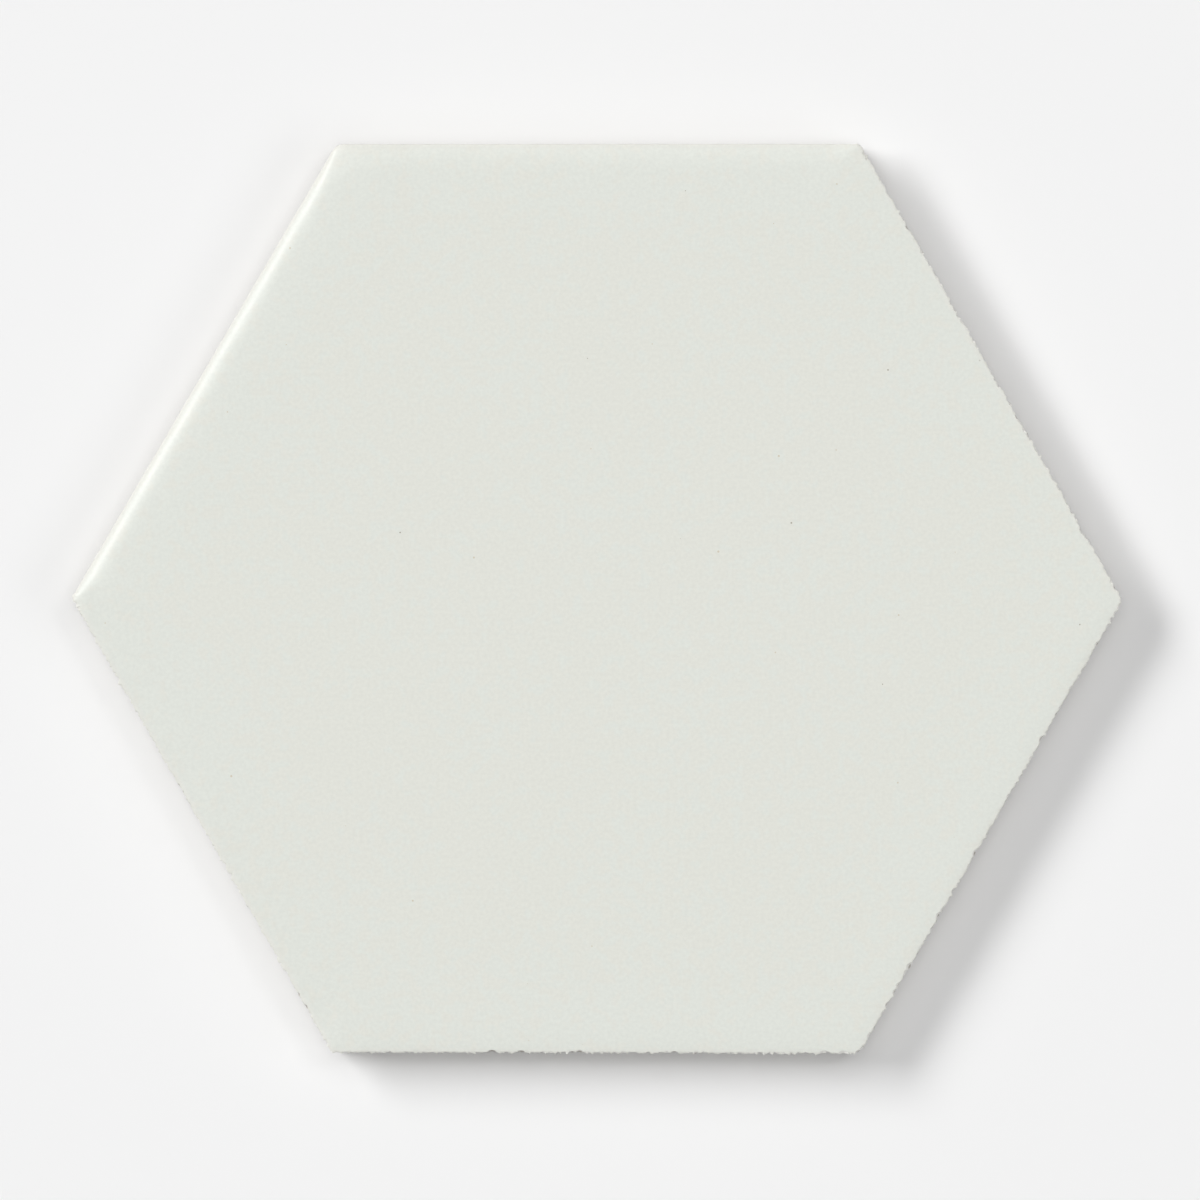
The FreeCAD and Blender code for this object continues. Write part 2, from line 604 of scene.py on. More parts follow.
    def add_flat(self) -> np.ndarray:
        """Make the flat of the face, with fewer points round towards its middle.

        Returns:
            The outermost ring of the flat.
        """
        end = self.flat - self.swell_reach
        steps = np.arange(self.first_step, int(end / self.face_step) - 1)
        rows = [(distance, self.skip_at(distance)) for distance in steps * self.face_step]
        rows += [(end - before, skip) for before, skip in self.flat_rows]
        corner_share, widest_corner = self.flat_corner
        ring = None
        for distance, skip in rows:
            rounding = min(distance * corner_share, widest_corner)
            outer = self.add_ring(self.flat - distance, self.thickness, rounding, skip, ripple=1.0)
            if ring is None:
                self.faces.append(tuple(outer))
                self.glazed.append(True)
            else:
                self.join(ring, outer, True)
            ring = outer
        return ring

    def skip_at(self, distance: float) -> int:
        """Keep one point in so many that a ring's points lie about two face steps apart.

        Args:
            distance: Distance from the middle to the ring's sides.

        Returns:
            A power of two, within flat_skips.
        """
        points = SIDES * 2.0 * distance * math.tan(HALF_TURN) / (2.0 * self.face_step)
        fewest, most = self.flat_skips
        return min(most, max(fewest, 2 ** int(math.log2(self.stations / points))))

    def add_face(self) -> np.ndarray:
        """Make the face from its middle to its rounded edge.

        Returns:
            The ring at the foot of the rounding.
        """
        blend = self.edge_blend
        width = self.by_side(lambda side: side.round_width, blend)
        width *= 1.0 + self.wander(self.width_wave, self.uneven)
        drop = self.by_side(lambda side: side.round_drop, blend)
        swell_width = self.by_side(lambda side: side.swell_width, blend)
        swell_drop = self.by_side(lambda side: side.swell_drop, blend)
        swell_drop *= 1.0 + self.wander(self.drop_wave, self.uneven)

        def swell(inward: np.ndarray) -> np.ndarray:
            """Height that the face has lost at a distance from the side."""
            left = np.exp(-inward / swell_width) - np.exp(-self.swell_reach / swell_width)
            return swell_drop * np.maximum(left, 0.0)

        ring = self.add_flat()
        for row in range(self.swell_rows, 0, -1):
            share = (row / self.swell_rows) ** self.swell_ease
            inward = width + (self.swell_reach - width) * share
            outer = self.add_ring(
                self.setback + inward,
                self.thickness - swell(inward),
                self.rounding_at(inward),
                2 if row > self.fine_rows else 1,
                ripple=smooth_step(inward / self.swell_reach),
            )
            ring = self.join(ring, outer, True)
        for row in range(self.round_rows, -1, -1):
            share = row / self.round_rows
            inward = width * (1.0 - math.cos(math.pi / 2.0 * share))
            fallen = drop * (1.0 - math.sin(math.pi / 2.0 * share))
            ragged = self.ragged * (1.0 - share) ** self.ragged_ease
            outer = self.add_ring(
                self.setback + inward + self.ragged_room * ragged,
                self.thickness - swell(inward) - fallen,
                self.rounding_at(inward),
                ragged=ragged,
                thin=np.exp(-inward / self.thin_reach),
            )
            ring = self.join(ring, outer, True)
        self.foot_height = self.thickness - swell(np.zeros(self.stations)) - drop
        return ring

    def corner_at(self, height: np.ndarray) -> np.ndarray:
        """Corner radius at a height, which turns from the face's to the body's down the side."""
        turned = (self.foot_height - height) / (self.corner_turn * self.foot_height)
        return self.face_corner + (self.body_corner - self.face_corner) * np.clip(turned, 0.0, 1.0)

    def setback_at(self, height: Any) -> np.ndarray:
        """How far the side stands inside the widest plane at a height."""
        below = np.clip((self.foot_height - height) / self.undercut_height, 0.0, 1.0)
        return self.setback + self.ragged_room * self.ragged + self.undercut * below

    def glaze_line(self) -> np.ndarray:
        """Height of the glaze's lower edge.

        Returns:
            One height for each point round.
        """
        foot = self.by_side(lambda side: side.make.value.glaze_foot)
        run = self.by_side(lambda side: side.make.value.glaze_run)
        strays = self.wander(self.line_wave, run)
        strays += self.wander(self.line_ripple, self.ripple_share * run)
        line = foot + np.clip(strays, -self.line_limit * run, self.line_limit * run)
        return np.minimum(line, self.foot_height - self.least_glaze)

    def add_side(self, foot: np.ndarray) -> np.ndarray:
        """Make the glaze down to its lower edge, then the bare side and the back chamfer.

        Args:
            foot: The ring that the face ended on.

        Returns:
            The ring at the outline of the back.
        """
        line = self.glaze_line()
        bead = self.by_side(lambda side: side.make.value.bead)
        room = self.foot_height - line
        above_bead = np.minimum(self.bead_height, self.bead_share * room)
        rows = [(0.0, self.foot_height - (room - above_bead) * down) for down in self.upright_rows]
        rows += [(out, line + above_bead * up) for up, out in self.bead_rows]
        ring = foot
        for out, height in rows:
            outer = self.add_ring(
                self.setback_at(height) - bead * out,
                height,
                self.corner_at(height),
                ragged=self.ragged,
                thin=self.upright_thin,
                ground=self.ground,
            )
            ring = self.join(ring, outer, True)
        top, soft = self.chamfer_height, self.chamfer_soft
        rows = [(0.0, line - below, left) for below, left in self.bare_rows]
        rows += [(0.0, line + (top - line) * share, left) for share, left in self.side_rows]
        rows += [(worn, top * full + soft * part, 0.0) for worn, full, part in self.chamfer_rows]
        rows.append((self.foot_worn, self.foot_round, 0.0))
        for number, (worn, height, left) in enumerate(rows):
            leaning = self.chamfer_width * np.clip(1.0 - height / self.chamfer_height, 0.0, 1.0)
            outer = self.add_ring(
                np.maximum(self.setback_at(height), leaning) + worn,
                height,
                self.corner_at(height),
                1 if number < len(self.bare_rows) else 2,
                ragged=self.ragged * left,
                ground=self.ground,
            )
            ring = self.join(ring, outer, False)
        return ring

    def add_back_rim(self, outline: np.ndarray, reach: float) -> np.ndarray:
        """Make the plain rim of the back, whose inner ring has few points.

        Args:
            outline: The lowest ring of the side.
            reach: Distance from the middle to the inner ring's sides.

        Returns:
            The inner ring.
        """
        ring = outline
        start = self.chamfer_width + self.foot_round
        inner = self.flat - reach
        for skip, share in self.rim_rows:
            inset = start + (inner - start) * share
            outer = self.add_ring(inset, 0.0, self.body_corner, skip)
            ring = self.join(ring, outer, False)
        return ring

    def mesh(
        self, name: str, back_reach: float, finishes: list[bpy.types.Material]
    ) -> bpy.types.Mesh:
        """Build the skin, which is open inside the back's rim.

        Args:
            name: Name of the mesh.
            back_reach: Distance from the middle to the sides of the opening in the back.
            finishes: The tile's materials, in the order of Slot.

        Returns:
            The mesh, with the marks that the wear and the finishes read.
        """
        self.add_back_rim(self.add_side(self.add_face()), back_reach)
        places = self.fired(np.concatenate(self.points))
        marks = {label: np.concatenate(values) for label, values in self.marks.items()}
        mesh = new_mesh(name, places, faces=self.faces, **marks)
        for finish in finishes:
            mesh.materials.append(finish)
        mesh.attributes.new("glazed", "BOOLEAN", "FACE").data.foreach_set("value", self.glazed)
        return mesh

    def edge_line(self) -> tuple[np.ndarray, np.ndarray]:
        """Edge of the face, as a closed line.

        Returns:
            The places of its points, and the level way out of the tile at each.
        """
        inset = self.setback + self.ragged_room * self.ragged
        distance = outline_radius(self.bearings, self.flat - inset, self.face_corner)
        drop = self.by_side(lambda side: side.round_drop + side.swell_drop, self.edge_blend)
        height = self.thickness - self.chip_depth * drop
        places = self.fired(ring_places(self.bearings, distance, height))
        along = np.roll(places, -1, axis=0) - np.roll(places, 1, axis=0)
        outward = np.stack([along[:, 1], -along[:, 0], np.zeros(self.stations)], axis=1)
        return places, outward / np.linalg.norm(outward, axis=1)[:, None]


@dataclass
class KeyedBack:
    """Honeycomb of shallow six-sided pockets that the mortar fills.

    Attributes:
        pocket: Width of a pocket's mouth between two sides.
        land: Width of the rib between two pockets.
        depth: Depth of a pocket.
        draft: Lean of a pocket's walls from upright, in degrees.
        fillet: Rounding at the mouth and the floor of a pocket.
        upright_corner: Rounding of a pocket's corners.
        rings: Rings of pockets round the middle one.
        rim_reach: Distance from the middle to the inner edge of the plain rim's sides.
        around: Points round one pocket.
    """

    pocket: float = 13.0
    land: float = 3.5
    depth: float = 0.8
    draft: float = 30.0
    fillet: float = 0.3
    upright_corner: float = 0.7
    rings: int = 4
    rim_reach: float = 71.0
    around: int = 24

    @property
    def pitch(self) -> float:
        """Distance between the middles of two pockets."""
        return self.pocket + self.land

    def cell(self, name: str) -> bpy.types.Mesh:
        """One pocket with the half ribs round it, its open side down.

        Args:
            name: Name of the mesh.

        Returns:
            The mesh, whose outer edge lies at height 0.
        """
        lean = math.tan(math.radians(self.draft))
        half = self.pocket / 2.0
        foot = half - self.depth * lean
        soft = self.fillet
        corner = self.upright_corner
        # From the middle of the rib, over the mouth's rounding, down the wall and over the
        # floor's: distance to the sides, height, and corner radius
        profile = (
            (self.pitch / 2.0, 0.0, 0.0),
            (half + soft, 0.0, corner + soft),
            (half - soft * 0.1, soft * 0.25, corner),
            (half - soft * lean - soft * 0.4, soft, corner),
            (foot + soft * lean * 0.9, self.depth - soft * 0.8, corner),
            (foot - soft * 0.3, self.depth - soft * 0.2, corner),
            (foot - soft * 1.3, self.depth, corner),
            (foot * 0.5, self.depth, corner),
        )
        bearings = np.arange(self.around) * 2.0 * math.pi / self.around
        places = [
            ring_places(bearings + HALF_TURN, outline_radius(bearings, flat, rounding), height)
            for flat, height, rounding in profile
        ]
        faces = []
        for outer in range(0, (len(profile) - 1) * self.around, self.around):
            inner = outer + self.around
            for this in range(self.around):
                before = (this - 1) % self.around
                faces.append((outer + before, inner + before, inner + this, outer + this))
        last = (len(profile) - 1) * self.around
        faces.append(tuple(range(last + self.around - 1, last - 1, -1)))
        return new_mesh(name, np.concatenate(places), faces=faces)

    def lattice(self, name: str) -> bpy.types.Mesh:
        """Loose points at the middles of the pockets.

        Args:
            name: Name of the mesh.

        Returns:
            A mesh of points.
        """
        places = []
        for column in range(-self.rings, self.rings + 1):
            for row in range(-self.rings, self.rings + 1):
                if abs(column + row) <= self.rings:
                    x = self.pitch * (column + row * math.cos(SIDE_TURN))
                    y = self.pitch * row * math.sin(SIDE_TURN)
                    places.append((x, y, 0.0))
        return new_mesh(name, places)


@dataclass
class Wear:
    """What firing, grinding and knocks did to the tile, as sizes for the node tree.

    Attributes:
        seed: Start of everything random in the tree.
        chip_step: Distance between the places that may have lost a chip.
        chip_radius: Smallest and largest radius of a chip's hollow.
        radius_power: How much rarer large hollows are than small ones, as a power.
        chip_bite: Least and greatest depth of a chip.
        bite_power: How much rarer deep chips are than shallow ones, as a power.
        bite_share: Most that a chip's depth may be, as a share of its hollow's radius.
        chip_lift: Lowest and highest direction that a hollow opens in, in degrees above level.
        chip_tall: Height of a hollow for its width.
        ragged_grain: Size of the grains along a ragged edge.
        ragged_stretch: How much quicker they change along the edge than down the side.
        ragged_gain: Furthest that a grain strays, as a multiple of the edge's wander. The
            noise rarely nears its ends, so most of the edge keeps within that wander.
        flake_grain: Size of the grains of a broken surface.
        flake_rough: How far those grains stand out.
        ripple_length: Distance between the crests of the glaze's ripple.
        ripple_depth: Depth of the ripple.
        nicks: Larger flakes at known places.
    """

    seed: int = 11
    chip_step: float = 1.2
    chip_radius: tuple[float, float] = (0.35, 1.1)
    radius_power: float = 2.0
    chip_bite: tuple[float, float] = (0.1, 0.6)
    bite_power: float = 1.2
    bite_share: float = 0.5
    chip_lift: tuple[float, float] = (0.0, 55.0)
    chip_tall: float = 1.3
    ragged_grain: float = 0.5
    ragged_stretch: float = 5.0
    ragged_gain: float = 2.5
    flake_grain: float = 0.4
    flake_rough: float = 0.06
    ripple_length: float = 14.0
    ripple_depth: float = 0.03
    nicks: tuple[Nick, ...] = ()

    def chip_line(self, name: str, skin: PressedSkin) -> bpy.types.Mesh:
        """Closed line along the edge of the face, for the chips to follow.

        Args:
            name: Name of the mesh.
            skin: The skin that the chips bite into.

        Returns:
            A mesh of edges, with the way out and the share of chips at each point.
        """
        places, outward = skin.edge_line()
        edges = [(this, (this + 1) % skin.stations) for this in range(skin.stations)]
        mesh = new_mesh(name, places, edges, chipped=skin.by_side(lambda side: side.chipped))
        ways = mesh.attributes.new("outward", "FLOAT_VECTOR", "POINT")
        ways.data.foreach_set("vector", outward.ravel())
        return mesh

    def nick_points(self, name: str, skin: PressedSkin) -> bpy.types.Mesh:
        """Loose points at the middles of the nicks' hollows, each with its radius.

        Args:
            name: Name of the mesh.
            skin: The skin that they bite into.

        Returns:
            A mesh of points.
        """
        places, outward = skin.edge_line()
        middles = []
        for nick in self.nicks:
            at = int(np.argmin(np.abs(skin.bearings - math.radians(nick.bearing))))
            lift = math.radians(nick.lift)
            upward = np.array((0.0, 0.0, self.chip_tall * math.sin(lift)))
            way = outward[at] * math.cos(lift) + upward
            middles.append(places[at] + way * (nick.radius - nick.bite))
        return new_mesh(name, middles, radius=[nick.radius * MM for nick in self.nicks])


@dataclass
class FinishTree:
    """Geometry Nodes tree that closes the skin with its keyed back and wears its edges.

    Attributes:
        wear: Sizes of the wear.
        finishes: The tile's materials.
        least_piece: Faces that a piece has to have; smaller ones are crumbs that fall off.
        crease: Angle between faces from which an edge looks sharp, in degrees.
        weld: Distance at which points of the skin and of the back are one, in millimetres.
        flake_detail: How often the faces of a flake's ball are divided.
    """

    wear: Wear
    finishes: dict[Slot, bpy.types.Material]
    least_piece: float = 5000.0
    crease: float = 38.0
    weld: float = 0.001
    flake_detail: int = 3

    def __post_init__(self) -> None:
        """Make the tree with its named inputs and its steps."""
        wear = self.wear
        self.tree = bpy.data.node_groups.new("fired_and_worn_tile", "GeometryNodeTree")
        self.add = functools.partial(add_node, self.tree)
        self.values = {
            "Seed": wear.seed,
            "Chip Step": wear.chip_step * MM,
            "Chip Radius Min": wear.chip_radius[0] * MM,
            "Chip Radius Max": wear.chip_radius[1] * MM,
            "Chip Bite Min": wear.chip_bite[0] * MM,
            "Chip Bite Max": wear.chip_bite[1] * MM,
            "Chip Lift Min": math.radians(wear.chip_lift[0]),
            "Chip Lift Max": math.radians(wear.chip_lift[1]),
            "Chip Tall": wear.chip_tall,
            "Ragged Grain": wear.ragged_grain * MM,
            "Flake Grain": wear.flake_grain * MM,
            "Flake Rough": wear.flake_rough * MM,
            "Ripple Length": wear.ripple_length * MM,
            "Ripple Depth": wear.ripple_depth * MM,
        }
        sockets = self.tree.interface
        sockets.new_socket("Skin", in_out="INPUT", socket_type="NodeSocketGeometry")
        shapes = ("Pocket", "Pocket Places", "Chip Line", "Nicks")
        for name in shapes:
            sockets.new_socket(name, in_out="INPUT", socket_type="NodeSocketObject")
        for name, value in self.values.items():
            kind = "NodeSocketInt" if isinstance(value, int) else "NodeSocketFloat"
            sockets.new_socket(name, in_out="INPUT", socket_type=kind)
        sockets.new_socket("Tile", in_out="OUTPUT", socket_type="NodeSocketGeometry")
        self.given = self.add("NodeGroupInput", {}).outputs
        self.shapes = {
            name: self.add("GeometryNodeObjectInfo", {"Object": self.given[name]}).outputs["Geometry"]
            for name in shapes
        }
        kinds = {"outward": "FLOAT_VECTOR", "glazed": "BOOLEAN"}
        self.marks = {
            name: self.add(
                "GeometryNodeInputNamedAttribute", {"Name": name}, data_type=kinds.get(name, "FLOAT")
            )
            for name in ("ragged", "ripple", "radius", "chipped", *kinds)
        }
        # A noise with such a scale has features of the size that the input gives
        self.scales = {
            name: self.add("ShaderNodeMath", {0: 1.0, 1: self.given[name]}, operation="DIVIDE")
            for name in ("Ragged Grain", "Ripple Length", "Flake Grain")
        }
        self.place = self.add("GeometryNodeInputPosition", {})
        skin = self.rippled_face(self.ragged_edge(self.given["Skin"]))
        chipped = self.chipped_edge(self.closed_back(skin))
        self.add("NodeGroupOutput", {0: self.dressed(self.swept(chipped))})

    def ragged_edge(self, skin: bpy.types.NodeSocket) -> bpy.types.Node:
        """Let the edges of the face wander in and out, as far as their mark says.

        Args:
            skin: The smooth skin.

        Returns:
            The skin with ragged edges.
        """
        stretch = (1.0, 1.0, 1.0 / self.wear.ragged_stretch)
        flatter = self.add("ShaderNodeVectorMath", {0: self.place, 1: stretch}, operation="MULTIPLY")
        scale = self.scales["Ragged Grain"]
        feeds = {"Vector": flatter, "Scale": scale, "Detail": 2.0, "Roughness": 0.6}
        noise = self.add("ShaderNodeTexNoise", feeds)
        centred = self.add(
            "ShaderNodeVectorMath",
            {0: noise.outputs["Color"], 1: (1.0, 1.0, 0.0), 2: (-0.5, -0.5, 0.0)},
            operation="MULTIPLY_ADD",
        )
        # The centred noise strays half a unit at most
        gain = 2.0 * self.wear.ragged_gain * MM
        amount = self.add("ShaderNodeMath", {0: self.marks["ragged"], 1: gain}, operation="MULTIPLY")
        shift = self.add("ShaderNodeVectorMath", {0: centred, "Scale": amount}, operation="SCALE")
        return self.add("GeometryNodeSetPosition", {"Geometry": skin, "Offset": shift})

    def rippled_face(self, skin: bpy.types.Node) -> bpy.types.Node:
        """Give the face the faint ripple of a melted glaze, never above its level.

        Args:
            skin: The skin with a level face.

        Returns:
            The skin with a rippled face.
        """
        feeds = {"Vector": self.place, "Scale": self.scales["Ripple Length"], "Detail": 1.0}
        fall = self.add("ShaderNodeTexNoise", feeds).outputs["Fac"]
        for factor in (self.marks["ripple"], self.given["Ripple Depth"], -1.0):
            fall = self.add("ShaderNodeMath", {0: fall, 1: factor}, operation="MULTIPLY")
        shift = self.add("ShaderNodeCombineXYZ", {"Z": fall})
        return self.add("GeometryNodeSetPosition", {"Geometry": skin, "Offset": shift})

    def closed_back(self, skin: bpy.types.Node) -> bpy.types.Node:
        """Close the back with the honeycomb of pockets and the plain field round it.

        Args:
            skin: The skin, which is open inside the rim of its back.

        Returns:
            The closed tile.
        """
        feeds = {"Points": self.shapes["Pocket Places"], "Instance": self.shapes["Pocket"]}
        spread = self.add("GeometryNodeInstanceOnPoints", feeds)
        real = self.add("GeometryNodeRealizeInstances", {"Geometry": spread})
        weld = self.weld * MM
        comb = self.add("GeometryNodeMergeByDistance", {"Geometry": real, "Distance": weld})
        both = self.add("GeometryNodeJoinGeometry", {"Geometry": [comb, skin]})
        faces_at_edge = self.add("GeometryNodeInputMeshEdgeNeighbors", {})
        open_edge = self.add(
            "FunctionNodeCompare", {"A": faces_at_edge, "B": 1}, data_type="INT", operation="EQUAL"
        )
        loops = self.add("GeometryNodeMeshToCurve", {"Mesh": both, "Selection": open_edge})
        field_mesh = self.add("GeometryNodeFillCurve", {"Curve": loops}, mode="TRIANGLES")
        turned = self.add("GeometryNodeFlipFaces", {"Mesh": field_mesh})
        whole = self.add("GeometryNodeJoinGeometry", {"Geometry": [turned, both]})
        return self.add("GeometryNodeMergeByDistance", {"Geometry": whole, "Distance": weld})

    def drawn(self, low: Any, high: Any, draw: int) -> bpy.types.Node:
        """Give each point a random value, from the draw with this number.

        Args:
            low: Least value.
            high: Greatest value.
            draw: Number that sets this draw apart from the others.

        Returns:
            The node that holds the values.
        """
        seed = self.add("ShaderNodeMath", {0: self.given["Seed"], 1: float(draw)}, operation="ADD")
        feeds = {"Min": low, "Max": high, "Seed": seed}
        return self.add("FunctionNodeRandomValue", feeds, data_type="FLOAT")

    def drawn_size(self, size: str, power: float, draw: int) -> bpy.types.Node:
        """Give each point a size between two named inputs, more often a small one.

        Args:
            size: Name of the inputs, without their Min and Max.
            power: How much rarer large sizes are, as a power.
            draw: Number that sets this draw apart from the others.

        Returns:
            The node that holds the sizes.
        """
        share = self.add("ShaderNodeMath", {0: self.drawn(0.0, 1.0, draw), 1: power}, operation="POWER")
        ends = {"To Min": self.given[f"{size} Min"], "To Max": self.given[f"{size} Max"]}
        return self.add("ShaderNodeMapRange", {"Value": share, **ends})

    def chip_seeds(self) -> bpy.types.Node:
        """Scatter points along the edge, at the middles of the chips' hollows.

        Returns:
            The points, each with its hollow's radius.
        """
        curve = self.add("GeometryNodeMeshToCurve", {"Mesh": self.shapes["Chip Line"]})
        steps = self.add(
            "GeometryNodeResampleCurve",
            {"Curve": curve, "Length": self.given["Chip Step"]},
            mode="LENGTH",
        )
        seeds = self.add("GeometryNodeCurveToPoints", {"Curve": steps}, mode="EVALUATED")
        radius = self.drawn_size("Chip Radius", self.wear.radius_power, 1)
        sized = self.add(
            "GeometryNodeStoreNamedAttribute",
            {"Geometry": seeds, "Name": "radius", "Value": radius},
        )
        stored = self.marks["radius"]
        drawn_bite = self.drawn_size("Chip Bite", self.wear.bite_power, 2)
        deepest = self.add("ShaderNodeMath", {0: stored, 1: self.wear.bite_share}, operation="MULTIPLY")
        bite = self.add("ShaderNodeMath", {0: drawn_bite, 1: deepest}, operation="MINIMUM")
        reach = self.add("ShaderNodeMath", {0: stored, 1: bite}, operation="SUBTRACT")
        lift = self.drawn(self.given["Chip Lift Min"], self.given["Chip Lift Max"], 3)
        level = self.add("ShaderNodeMath", {0: lift}, operation="COSINE")
        rise = self.add("ShaderNodeMath", {0: lift}, operation="SINE")
        feeds = {0: self.marks["outward"], "Scale": level}
        out = self.add("ShaderNodeVectorMath", feeds, operation="SCALE")
        taller = self.add("ShaderNodeMath", {0: rise, 1: self.given["Chip Tall"]}, operation="MULTIPLY")
        upward = self.add("ShaderNodeCombineXYZ", {"Z": taller})
        away = self.add("ShaderNodeVectorMath", {0: out, 1: upward}, operation="ADD")
        shift = self.add("ShaderNodeVectorMath", {0: away, "Scale": reach}, operation="SCALE")
        placed = self.add("GeometryNodeSetPosition", {"Geometry": sized, "Offset": shift})
        feeds = {"A": self.drawn(0.0, 1.0, 4), "B": self.marks["chipped"]}
        whole = self.add("FunctionNodeCompare", feeds, operation="GREATER_EQUAL")
        return self.add("GeometryNodeDeleteGeometry", {"Geometry": placed, "Selection": whole})

    def chipped_edge(self, tile: bpy.types.Node) -> bpy.types.Node:
        """Break flakes out of the edges of the face, in three rounds whose flakes lie apart.

        Args:
            tile: The closed tile.

        Returns:
            The chipped tile, with its loose crumbs.
        """
        feeds = {"Mesh": self.shapes["Nicks"], "Radius": self.marks["radius"]}
        nick_points = self.add("GeometryNodeMeshToPoints", feeds)
        index = self.add("GeometryNodeInputIndex", {})
        even = self.add("ShaderNodeMath", {0: index, 1: 2.0}, operation="FLOORED_MODULO")
        odd = self.add("ShaderNodeMath", {0: 1.0, 1: even}, operation="SUBTRACT")
        seeds = self.chip_seeds()
        rounds = [
            self.add("GeometryNodeDeleteGeometry", {"Geometry": seeds, "Selection": left})
            for left in (even, odd)
        ]
        for points in (*rounds, nick_points):
            tile = self.flaked(tile, points)
        return tile

    def flaked(self, tile: bpy.types.Node, points: bpy.types.Node) -> bpy.types.Node:
        """Take small shell-shaped flakes out of the tile.

        Args:
            tile: The tile so far.
            points: Middles of the flakes' hollows, each with its hollow's radius.

        Returns:
            The tile without the flakes.
        """
        ball = self.add("GeometryNodeMeshIcoSphere", {"Radius": 1.0, "Subdivisions": self.flake_detail})
        shape = self.add("ShaderNodeCombineXYZ", {"X": 1.0, "Y": 1.0, "Z": self.given["Chip Tall"]})
        feeds = {0: shape, "Scale": self.marks["radius"]}
        size = self.add("ShaderNodeVectorMath", feeds, operation="SCALE")
        balls = self.add(
            "GeometryNodeInstanceOnPoints", {"Points": points, "Instance": ball, "Scale": size}
        )
        real = self.add("GeometryNodeRealizeInstances", {"Geometry": balls})
        feeds = {"Vector": self.place, "Scale": self.scales["Flake Grain"], "Detail": 1.0}
        grain = self.add("ShaderNodeTexNoise", feeds)
        centred = self.add(
            "ShaderNodeVectorMath",
            {0: grain.outputs["Color"], 1: (0.5, 0.5, 0.5)},
            operation="SUBTRACT",
        )
        # The centred grain strays half a unit at most
        rough = self.add("ShaderNodeMath", {0: self.given["Flake Rough"], 1: 2.0}, operation="MULTIPLY")
        shift = self.add("ShaderNodeVectorMath", {0: centred, "Scale": rough}, operation="SCALE")
        flakes = self.add("GeometryNodeSetPosition", {"Geometry": real, "Offset": shift})
        return self.add(
            "GeometryNodeMeshBoolean", {0: tile, 1: flakes}, operation="DIFFERENCE", solver="MANIFOLD"
        )

    def swept(self, tile: bpy.types.Node) -> bpy.types.Node:
        """Take away the loose crumbs between chips.

        Args:
            tile: The chipped tile.

        Returns:
            The tile alone.
        """
        island = self.add("GeometryNodeInputMeshIsland", {})
        count = self.add("GeometryNodeAccumulateField", {"Group ID": island}, domain="FACE")
        crumb = self.add(
            "FunctionNodeCompare",
            {"A": count.outputs["Total"], "B": self.least_piece},
            operation="LESS_THAN",
        )
        return self.add(
            "GeometryNodeDeleteGeometry", {"Geometry": tile, "Selection": crumb}, domain="FACE"
        )

    def dressed(self, tile: bpy.types.Node) -> bpy.types.Node:
        """Smooth the surfaces, keep broken edges sharp, and lay on the two finishes.

        Args:
            tile: The worn tile.

        Returns:
            The finished tile.
        """
        smooth = self.add("GeometryNodeSetShadeSmooth", {"Geometry": tile}, domain="FACE")
        angle = self.add("GeometryNodeInputMeshEdgeAngle", {})
        steep = self.add(
            "FunctionNodeCompare",
            {"A": angle, "B": math.radians(self.crease)},
            operation="GREATER_THAN",
        )
        creased = self.add(
            "GeometryNodeSetShadeSmooth",
            {"Geometry": smooth, "Selection": steep, "Shade Smooth": False},
            domain="EDGE",
        )
        real = self.add("GeometryNodeRealizeInstances", {"Geometry": creased})
        body, glaze = self.finishes[Slot.BODY], self.finishes[Slot.GLAZE]
        bare = self.add("GeometryNodeSetMaterial", {"Geometry": real, "Material": body})
        feeds = {"Geometry": bare, "Selection": self.marks["glazed"], "Material": glaze}
        return self.add("GeometryNodeSetMaterial", feeds)

    def apply(self, piece: bpy.types.Object, helpers: dict[str, bpy.types.Mesh]) -> None:
        """Run the tree on a piece and leave the result in it as a plain mesh.

        Args:
            piece: The skin.
            helpers: Meshes for the tree's object inputs, by input name.
        """
        objects = {name: place_object(mesh.name, mesh) for name, mesh in helpers.items()}
        given = {**self.values, **objects}
        modifier = piece.modifiers.new("firing_and_wear", "NODES")
        modifier.node_group = self.tree
        for item in self.tree.interface.items_tree:
            if item.in_out == "INPUT" and item.name in given:
                modifier[item.identifier] = given[item.name]
        graph = bpy.context.evaluated_depsgraph_get()
        finished = bpy.data.meshes.new_from_object(piece.evaluated_get(graph), depsgraph=graph)
        piece.modifiers.remove(modifier)
        piece.data = finished
        for helper in objects.values():
            bpy.data.objects.remove(helper)


